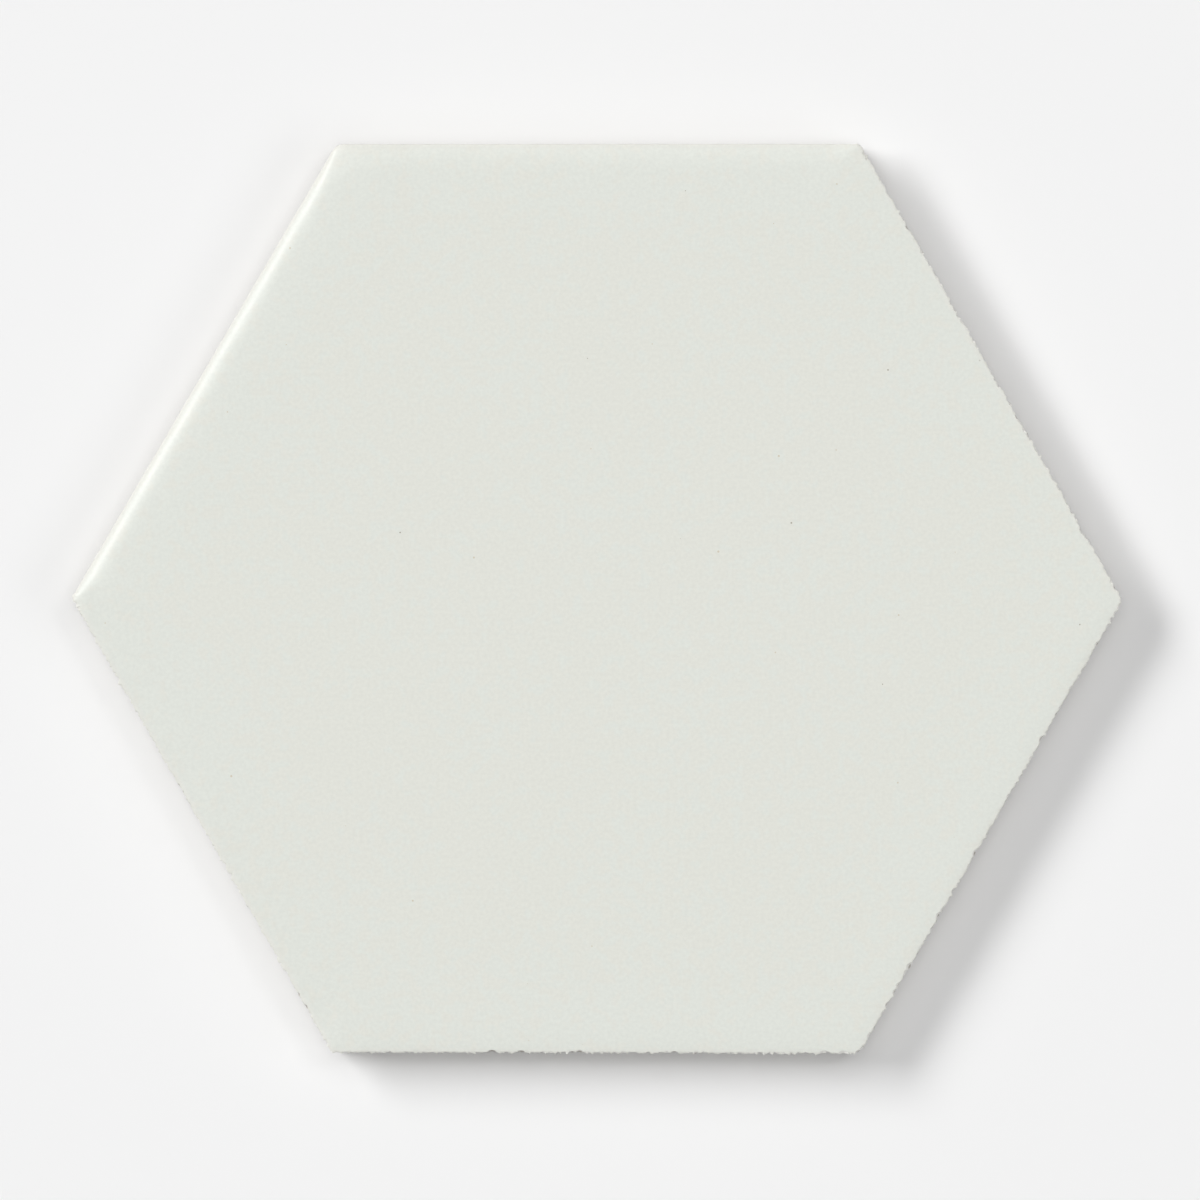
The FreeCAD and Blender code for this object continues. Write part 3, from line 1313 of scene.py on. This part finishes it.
@dataclass(frozen=True)
class SatinGlaze:
    """Stoneware glaze made opaque with zircon, sprayed on and fired to a satin.

    It looks milky and even: a little warmer in the middle, where it lies thickest, and cooler
    towards the sides, with an eggshell sheen, faint clouds and flecks, and a few pinholes and
    iron specks. At the very edge it breaks thin over the pale body, in a lighter colour that is
    partly that break and partly a painted highlight along the edges.

    Attributes:
        thick: Colour in the middle of the face.
        thin: Colour near the sides.
        edge: Colour where it breaks thin over an edge, made lighter so that it is also a painted
            highlight along the edges.
        pinhole: Colour inside a pinhole, where gas left the melt.
        iron: Colour of a faint iron speck.
        ior: Refractive index of a stoneware glaze.
        roughness: Least and greatest roughness of the fired surface.
        cloud: Size of the clouds, in millimetres.
        cloud_tint: How far they turn the colour, where 1 is from thick to thin.
        fleck: Size of the flecks.
        fleck_tint: How far they turn the colour.
        speckle: Size of the finest grains, drawn a few pixels wide so that they show.
        speckle_light: Least and greatest brightness of these grains.
        side_start: Distance from the middle at which the colour starts to turn.
        side_end: Distance at which it has turned.
        patchy: How much of the glaze has broken at the edge where the flecks are darkest, and so shows
            the edge colour with its painted highlight.
        hole_spacing: Mean distance between places that may have a pinhole.
        hole_share: Share of these places that have one.
        hole_radius: Largest radius of a pinhole.
        hole_limit: Thinness of the glaze past which the edge has no pinholes.
        iron_spacing: Mean distance between places that may have an iron speck.
        iron_share: Share of these places that have one.
        iron_radius: Largest radius of an iron speck.
        eggshell: Distance between the crests of the surface's fine waves.
        eggshell_depth: Depth of these waves.
    """

    thick: str = "#E1E2DA"
    thin: str = "#E0E3DC"
    edge: str = "#E4E3DC"
    pinhole: str = "#A39C8C"
    iron: str = "#D0C9B6"
    ior: float = 1.5
    roughness: tuple[float, float] = (0.37, 0.43)
    cloud: float = 14.0
    cloud_tint: tuple[float, float] = (-0.6, 0.6)
    fleck: float = 2.2
    fleck_tint: tuple[float, float] = (-1.3, 1.3)
    speckle: float = 0.6
    speckle_light: tuple[float, float] = (0.972, 1.024)
    side_start: float = 50.0
    side_end: float = 74.0
    patchy: float = 0.5
    hole_spacing: float = 16.0
    hole_share: float = 0.2
    hole_radius: float = 0.14
    hole_limit: float = 0.2
    iron_spacing: float = 10.0
    iron_share: float = 0.2
    iron_radius: float = 0.18
    eggshell: float = 0.8
    eggshell_depth: float = 0.002

    def material(self) -> bpy.types.Material:
        """Build the glaze.

        Returns:
            The material.
        """
        material = bpy.data.materials.new("satin_zircon_glaze")
        tree = empty_tree(material)
        add = functools.partial(add_node, tree)
        place = add("ShaderNodeTexCoord", {}).outputs["Object"]
        in_mm = add("ShaderNodeVectorMath", {0: place, "Scale": 1.0 / MM}, operation="SCALE")
        clouds, flecks, grains, waves = (
            add(
                "ShaderNodeTexNoise", {"Vector": in_mm, "Scale": 1.0 / size, "Detail": detail}
            ).outputs["Fac"]
            for size, detail in (
                (self.cloud, 3.0),
                (self.fleck, 2.0),
                (self.speckle, 2.0),
                (self.eggshell, 1.0),
            )
        )
        cool, cooler, light, sheen = (
            add("ShaderNodeMapRange", {"Value": pattern, **NOISE_SPAN, "To Min": low, "To Max": high})
            for pattern, (low, high) in (
                (clouds, self.cloud_tint),
                (flecks, self.fleck_tint),
                (grains, self.speckle_light),
                (flecks, self.roughness),
            )
        )
        both = add("ShaderNodeMath", {0: cool, 1: cooler}, operation="ADD")
        near_side = self.near_side(tree, in_mm)
        share = add("ShaderNodeMath", {0: near_side, 1: both}, operation="ADD", use_clamp=True)
        tinted = add(
            "ShaderNodeMix",
            {"Factor": share, "A": linear(self.thick), "B": linear(self.thin)},
            data_type="RGBA",
        )
        thin = add("ShaderNodeAttribute", {}, attribute_name="thin").outputs["Fac"]
        # Glaze breaking thin at the edges, in a colour lighter than the face's: partly the break
        # itself, partly a painted highlight along the edges
        patches = add("ShaderNodeMath", {0: flecks, 1: self.patchy}, operation="ADD")
        broken = add("ShaderNodeMath", {0: thin, 1: patches}, operation="MULTIPLY", use_clamp=True)
        edge_break_and_highlight = add(
            "ShaderNodeMix", {"Factor": broken, "A": tinted, "B": linear(self.edge)}, data_type="RGBA"
        )
        mottled = add("ShaderNodeHueSaturation", {"Value": light, "Color": edge_break_and_highlight})
        speck, hollow = (
            self.spots(tree, in_mm, *sizes)
            for sizes in (
                (self.iron_spacing, self.iron_share, self.iron_radius),
                (self.hole_spacing, self.hole_share, self.hole_radius),
            )
        )
        stained = add(
            "ShaderNodeMix", {"Factor": speck, "A": mottled, "B": linear(self.iron)}, data_type="RGBA"
        )
        on_face = add("ShaderNodeMath", {0: thin, 1: self.hole_limit}, operation="LESS_THAN")
        hole = add("ShaderNodeMath", {0: hollow, 1: on_face}, operation="MULTIPLY")
        colour = add(
            "ShaderNodeMix", {"Factor": hole, "A": stained, "B": linear(self.pinhole)}, data_type="RGBA"
        )
        pitted = add("ShaderNodeMath", {0: waves, 1: hole}, operation="SUBTRACT")
        depth = self.eggshell_depth * MM
        bump = add("ShaderNodeBump", {"Height": pitted, "Distance": depth, "Strength": 1.0})
        shader = add(
            "ShaderNodeBsdfPrincipled",
            {"Base Color": colour, "IOR": self.ior, "Roughness": sheen, "Normal": bump},
        )
        add("ShaderNodeOutputMaterial", {"Surface": shader})
        return material

    def near_side(self, tree: bpy.types.NodeTree, in_mm: bpy.types.Node) -> bpy.types.Node:
        """How close a place on the face is to the nearest side.

        Args:
            tree: The glaze's node tree.
            in_mm: Place on the tile, in millimetres.

        Returns:
            The node that holds 0 inside to 1 at the side.
        """
        add = functools.partial(add_node, tree)
        reaches = []
        for side in range(SIDES // 2):
            facing = HALF_TURN + SIDE_TURN * side
            way = (math.cos(facing), math.sin(facing), 0.0)
            dot = add("ShaderNodeVectorMath", {0: in_mm, 1: way}, operation="DOT_PRODUCT")
            reaches.append(add("ShaderNodeMath", {0: dot.outputs["Value"]}, operation="ABSOLUTE"))
        furthest = reaches[0]
        for reach in reaches[1:]:
            furthest = add("ShaderNodeMath", {0: furthest, 1: reach}, operation="MAXIMUM")
        return add(
            "ShaderNodeMapRange",
            {"Value": furthest, "From Min": self.side_start, "From Max": self.side_end},
            interpolation_type="SMOOTHSTEP",
        )

    def spots(
        self,
        tree: bpy.types.NodeTree,
        in_mm: bpy.types.Node,
        spacing: float,
        share: float,
        largest: float,
    ) -> bpy.types.Node:
        """Scatter round spots over the face.

        Args:
            tree: The glaze's node tree.
            in_mm: Place on the tile, in millimetres.
            spacing: Mean distance between places that may have a spot.
            share: Share of these places that have one.
            largest: Largest radius of a spot.

        Returns:
            The node that holds 1 inside a spot and 0 elsewhere.
        """
        add = functools.partial(add_node, tree)
        cells = add(
            "ShaderNodeTexVoronoi",
            {"Vector": in_mm, "Scale": 1.0 / spacing},
            voronoi_dimensions="2D",
        )
        drawn = add("ShaderNodeSeparateColor", {"Color": cells.outputs["Color"]})
        radius = add(
            "ShaderNodeMapRange",
            {
                "Value": drawn.outputs["Red"],
                "From Min": 1.0 - share,
                "From Max": 1.0,
                "To Min": 0.0,
                "To Max": largest / spacing,
            },
        )
        distance = cells.outputs["Distance"]
        return add("ShaderNodeMath", {0: distance, 1: radius}, operation="LESS_THAN")


@dataclass(frozen=True)
class StonewareBody:
    """Stoneware body, dry-pressed from fine granules and fired bare: matt, pale and sandy.

    The ground sides and the chips show the glaze in section as a pale line above the body,
    lightened further so that it also stands in for painted glints on the chips. The wheel left
    fine level streaks, the die upright ones, and a whitish wash keeps the ribs of the back from
    sticking in the kiln.

    Attributes:
        pale: Colour of the pressed granules where the wheel or a chip bared them.
        dark: Colour between them.
        skin: Colour of the body's fired skin, on the pressed sides and the back.
        grog: Colour of the scattered dark grains.
        glaze_section_and_glint: Colour of the glaze in section, made lighter so that it is also a
            painted glint on the chips.
        wash: Colour of the kiln wash.
        glaze_blend: Height over which body turns to glaze in section, in millimetres.
        skin_height: Heights between which the skin of the back ends on a ground side.
        wash_height: Heights between which the wash runs out, where granules let it highest.
        wash_waver: How far the granules lower that, in millimetres.
        wash_cover: How much of the body it hides.
        roughness: Roughness of the bare body.
        granule: Size of the granules.
        granule_span: Values of their pattern between which dark turns to pale.
        grog_spacing: Mean distance between dark grains.
        grog_radius: Largest radius of a dark grain.
        streak_length: Length of the wheel's streaks.
        streak_width: Width of these streaks.
        die_scale: Fineness of the die's streaks, as a multiple of the wheel's.
        grain_depth: Height of the sandy grain.
        grain_strength: Strength of its relief.
    """

    pale: str = "#F0EEE9"
    dark: str = "#E4E1DA"
    skin: str = "#B6B2AA"
    grog: str = "#A69F93"
    glaze_section_and_glint: str = "#F3F2ED"
    wash: str = "#DEDAD0"
    glaze_blend: float = 0.08
    skin_height: tuple[float, float] = (0.8, 1.0)
    wash_height: tuple[float, float] = (0.22, 0.47)
    wash_waver: float = 0.5
    wash_cover: float = 0.75
    roughness: float = 0.9
    granule: float = 0.5
    granule_span: tuple[float, float] = (0.35, 0.65)
    grog_spacing: float = 2.2
    grog_radius: float = 0.11
    streak_length: float = 9.0
    streak_width: float = 0.14
    die_scale: float = 0.4
    grain_depth: float = 0.03
    grain_strength: float = 0.8

    def material(self) -> bpy.types.Material:
        """Build the bare body.

        Returns:
            The material.
        """
        material = bpy.data.materials.new("dry_pressed_stoneware_body")
        tree = empty_tree(material)
        add = functools.partial(add_node, tree)
        place = add("ShaderNodeTexCoord", {}).outputs["Object"]
        in_mm = add("ShaderNodeVectorMath", {0: place, "Scale": 1.0 / MM}, operation="SCALE")
        height = add("ShaderNodeSeparateXYZ", {"Vector": in_mm}).outputs["Z"]
        granules = add(
            "ShaderNodeTexNoise", {"Vector": in_mm, "Scale": 1.0 / self.granule, "Detail": 3.0}
        ).outputs["Fac"]
        feeds = {0: granules, 1: self.wash_waver, 2: height}
        wavering = add("ShaderNodeMath", feeds, operation="MULTIPLY_ADD")
        section = (GLAZE_FLOOR - self.glaze_blend / 2.0, GLAZE_FLOOR + self.glaze_blend / 2.0)
        share, at_side, at_back, in_glaze = (
            add(
                "ShaderNodeMapRange",
                {"Value": value, "From Min": low, "From Max": high, "To Min": start, "To Max": end},
            )
            for value, (low, high), start, end in (
                (granules, self.granule_span, 0.0, 1.0),
                (height, self.skin_height, 0.0, 1.0),
                (wavering, self.wash_height, self.wash_cover, 0.0),
                (height, section, 0.0, 1.0),
            )
        )
        sand = add(
            "ShaderNodeMix",
            {"Factor": share, "A": linear(self.dark), "B": linear(self.pale)},
            data_type="RGBA",
        )
        ground = add("ShaderNodeAttribute", {}, attribute_name="ground").outputs["Fac"]
        bared = add("ShaderNodeMath", {0: ground, 1: at_side}, operation="MULTIPLY")
        colour = add(
            "ShaderNodeMix", {"Factor": bared, "A": linear(self.skin), "B": sand}, data_type="RGBA"
        )
        cells = add("ShaderNodeTexVoronoi", {"Vector": in_mm, "Scale": 1.0 / self.grog_spacing})
        grain = add(
            "ShaderNodeMath",
            {0: cells.outputs["Distance"], 1: self.grog_radius / self.grog_spacing},
            operation="LESS_THAN",
        )
        # The pale glaze in section is lightened further, so that it also stands in for painted glints
        # on the chips
        coats = ((grain, self.grog), (at_back, self.wash), (in_glaze, self.glaze_section_and_glint))
        for cover, coat in coats:
            feeds = {"Factor": cover, "A": colour, "B": linear(coat)}
            colour = add("ShaderNodeMix", feeds, data_type="RGBA")
        bump = self.surface(tree, in_mm, granules, ground)
        shader = add(
            "ShaderNodeBsdfPrincipled",
            {"Base Color": colour, "Roughness": self.roughness, "Normal": bump},
        )
        add("ShaderNodeOutputMaterial", {"Surface": shader})
        return material

    def surface(
        self,
        tree: bpy.types.NodeTree,
        in_mm: bpy.types.Node,
        granules: bpy.types.NodeSocket,
        ground: bpy.types.NodeSocket,
    ) -> bpy.types.Node:
        """Build the sandy grain with the streaks that the wheel and the die left.

        Args:
            tree: The body's node tree.
            in_mm: Place on the tile, in millimetres.
            granules: Pattern of the granules.
            ground: 1 on the ground sides and 0 on the pressed ones.

        Returns:
            The bump node.
        """
        add = functools.partial(add_node, tree)
        long, wide = 1.0 / self.streak_length, 1.0 / self.streak_width
        level, upright = (
            add("ShaderNodeVectorMath", {0: in_mm, 1: stretch}, operation="MULTIPLY")
            for stretch in ((long, long, wide), (wide, wide, long))
        )
        wheel, die = (
            add("ShaderNodeTexNoise", {"Vector": lines, "Scale": scale, "Detail": 2.0}).outputs["Fac"]
            for lines, scale in ((level, 1.0), (upright, self.die_scale))
        )
        streaks = add("ShaderNodeMix", {"Factor": ground, "A": die, "B": wheel})
        relief = add("ShaderNodeMath", {0: granules, 1: streaks}, operation="ADD")
        depth = self.grain_depth * MM
        feeds = {"Height": relief, "Distance": depth, "Strength": self.grain_strength}
        return add("ShaderNodeBump", feeds)


@dataclass
class HexagonTile:
    """The whole tile: one pressed, glazed and fired piece with worn edges and a keyed back.

    Attributes:
        across_flats: Between two opposite sides.
        thickness: From the back to the glazed face.
        sides: Face edge of each side.
        corners: Rounding of each corner of the face.
        back: Keying of the back.
        wear: Chips, ragged edges and ripple.
    """

    across_flats: float
    thickness: float
    sides: tuple[SideEdge, ...] = (
        SideEdge(30, Make.GROUND, 0.65, 0.15, 1.6, 0.04, chipped=0.85),
        SideEdge(90, Make.PRESSED, 4.0, 0.85, 4.5, 0.34),
        SideEdge(150, Make.PRESSED, 3.1, 1.10, 2.9, 0.60),
        SideEdge(210, Make.GROUND, 0.4, 0.08, 4.0, 0.50, chipped=0.3),
        SideEdge(270, Make.GROUND, 0.45, 0.12, 1.1, 0.17, chipped=0.95),
        SideEdge(330, Make.GROUND, 0.45, 0.08, 1.1, 0.12, chipped=0.95),
    )
    corners: tuple[Corner, ...] = (
        Corner(0, 1.0, (0.0, -0.18)),
        Corner(60, 1.1, (0.03, -0.09)),
        Corner(120, 2.2, (0.47, -0.12), soften=6.0),
        Corner(180, 0.8, (0.20, 0.20)),
        Corner(240, 1.0, (-0.27, 0.45)),
        Corner(300, 1.3, (-0.10, 0.25)),
    )
    back: KeyedBack = field(default_factory=KeyedBack)
    wear: Wear = field(
        default_factory=lambda: Wear(
            nicks=(
                Nick(54.5, 1.3, 0.35, 20.0),
                Nick(60.0, 1.2, 0.25, 30.0),
                Nick(296.6, 1.7, 0.35, 60.0),
                Nick(298.5, 1.4, 0.35, 60.0),
                Nick(300.0, 1.0, 0.45, 35.0),
                Nick(302.0, 1.2, 0.35, 45.0),
            )
        )
    )

    def build(self) -> bpy.types.Object:
        """Build and dress the tile.

        Returns:
            The tile's object.
        """
        finishes = {Slot.BODY: StonewareBody().material(), Slot.GLAZE: SatinGlaze().material()}
        skin = PressedSkin(self.across_flats, self.thickness, self.sides, self.corners)
        mesh = skin.mesh("tile_skin", self.back.rim_reach, [finishes[slot] for slot in Slot])
        tile = place_object("glazed_tile", mesh)
        helpers = {
            "Pocket": self.back.cell("pocket_cell"),
            "Pocket Places": self.back.lattice("pocket_places"),
            "Chip Line": self.wear.chip_line("chip_line", skin),
            "Nicks": self.wear.nick_points("nick_places", skin),
        }
        FinishTree(self.wear, finishes).apply(tile, helpers)
        return tile


@dataclass(frozen=True)
class SoftBox:
    """A soft rectangular lamp that points at the tile.

    Attributes:
        name: Name of the lamp.
        bearing: Direction that it stands in.
        height: Its height above level, in degrees.
        away: Its distance, in metres.
        width: Its level size, in metres.
        depth: Its other size, in metres.
        share: Part of the floor's light that comes from it.
        roll: Turn about its own axis, in degrees.
        mirrored: Whether glossy surfaces show it.
    """

    name: str
    bearing: float
    height: float
    away: float
    width: float
    depth: float
    share: float
    roll: float = 0.0
    mirrored: bool = True

    def build(self) -> bpy.types.Object:
        """Hang the lamp.

        Returns:
            The lamp's object.
        """
        data = bpy.data.lights.new(self.name, "AREA")
        data.shape = "RECTANGLE"
        data.size = self.width
        data.size_y = self.depth
        up, round_about = math.radians(self.height), math.radians(self.bearing)
        level = math.cos(up)
        way = Vector((level * math.cos(round_about), level * math.sin(round_about), math.sin(up)))
        # A small lamp of this power gives its share of the light in which the floor looks as pale
        # as its colour says, and a large one a little less
        data.energy = math.pi**2 * self.away**2 * self.share / math.sin(up)
        lamp = place_object(self.name, data)
        lamp.visible_glossy = self.mirrored
        lamp.location = way * self.away
        turn = (-way).to_track_quat("-Z", "Y")
        lamp.rotation_mode = "QUATERNION"
        lamp.rotation_quaternion = turn @ Euler((0.0, 0.0, math.radians(self.roll))).to_quaternion()
        return lamp


@dataclass(frozen=True)
class Studio:
    """Plain pale floor, soft lamps and a camera straight above the tile.

    Attributes:
        floor_colour: Colour of the matt white board.
        floor_size: Its width, in metres.
        fill_share: Part of the floor's light that comes from all round.
        lamps: The soft boxes.
        picture_width: Width of the picture, in pixels.
        tile_middle: Where the tile's middle lies in the picture, in pixels.
        pixel: Size of a pixel on the floor, in metres.
        camera_height: Height of the camera, in metres.
        film_width: Width of the film, in millimetres.
    """

    floor_colour: str = "#F3F3F3"
    floor_size: float = 6.0
    fill_share: float = 0.238
    lamps: tuple[SoftBox, ...] = (
        SoftBox("key_softbox", 151.0, 38.0, 12.0, 7.5, 3.6, share=0.433, roll=20.0),
        SoftBox("overhead_softbox", 90.0, 88.0, 12.0, 6.0, 6.0, share=0.170, mirrored=False),
        SoftBox("right_softbox", 345.0, 38.0, 12.0, 9.0, 4.5, share=0.087, mirrored=False),
        SoftBox("back_softbox", 90.0, 60.0, 12.0, 7.5, 3.0, share=0.06),
        SoftBox("edge_softbox", 35.0, 62.0, 12.0, 2.6, 2.6, share=0.07),
    )
    picture_width: float = 1200.0
    tile_middle: tuple[float, float] = (596.75, 599.35)
    pixel: float = 0.0001648
    camera_height: float = 3.0
    film_width: float = 36.0

    def build_floor(self) -> bpy.types.Object:
        """Lay the floor.

        Returns:
            The floor's object.
        """
        half = self.floor_size / 2.0
        mesh = bpy.data.meshes.new("studio_floor")
        corners = [(-half, -half, 0.0), (half, -half, 0.0), (half, half, 0.0), (-half, half, 0.0)]
        mesh.from_pydata(corners, [], [(0, 1, 2, 3)])
        material = bpy.data.materials.new("matt_white_board")
        tree = empty_tree(material)
        shader = add_node(tree, "ShaderNodeBsdfDiffuse", {"Color": linear(self.floor_colour)})
        add_node(tree, "ShaderNodeOutputMaterial", {"Surface": shader})
        mesh.materials.append(material)
        return place_object("studio_floor", mesh)

    def build_world(self) -> None:
        """Surround the studio with an even fill that the camera sees as a pale backdrop."""
        world = bpy.data.worlds.new("studio_surround")
        bpy.context.scene.world = world
        tree = empty_tree(world)
        seen = add_node(tree, "ShaderNodeLightPath", {}).outputs["Is Camera Ray"]
        fill = add_node(
            tree, "ShaderNodeBackground", {"Color": (1.0, 1.0, 1.0, 1.0), "Strength": self.fill_share}
        )
        shown = add_node(
            tree, "ShaderNodeBackground", {"Color": linear(self.floor_colour), "Strength": 1.0}
        )
        mixed = add_node(tree, "ShaderNodeMixShader", {0: seen, 1: fill, 2: shown})
        add_node(tree, "ShaderNodeOutputWorld", {"Surface": mixed})

    def build_camera(self) -> bpy.types.Object:
        """Hang the camera above the tile, with the tile where the picture has it.

        Returns:
            The camera's object.
        """
        data = bpy.data.cameras.new("overhead_camera")
        data.sensor_width = self.film_width
        data.lens = self.film_width / (self.picture_width * self.pixel) * self.camera_height
        camera = place_object("overhead_camera", data)
        half = self.picture_width / 2.0
        across, down = self.tile_middle
        camera.location = ((half - across) * self.pixel, (down - half) * self.pixel, self.camera_height)
        bpy.context.scene.camera = camera
        return camera

    def build(self) -> None:
        """Set up the whole studio."""
        self.build_floor()
        self.build_world()
        self.build_camera()
        for box in self.lamps:
            lamp = box.build()
            log.info("%s: %.1f %% of the floor's light", lamp.name, 100.0 * box.share)


def main() -> None:
    """Build the tile and its studio, and report each piece."""
    logging.basicConfig(level=logging.INFO, format="%(name)s: %(message)s")
    bpy.context.scene.view_settings.view_transform = "Standard"
    low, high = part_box(TILE_NODE)
    tile = HexagonTile((high[1] - low[1]) / MM, (high[2] - low[2]) / MM).build()
    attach(tile, "root")
    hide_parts(TILE_NODE)
    triangles = sum(len(face.vertices) - 2 for face in tile.data.polygons)
    log.info("%s: %d triangles", tile.name, triangles)
    Studio().build()


if __name__ == "__main__":
    main()
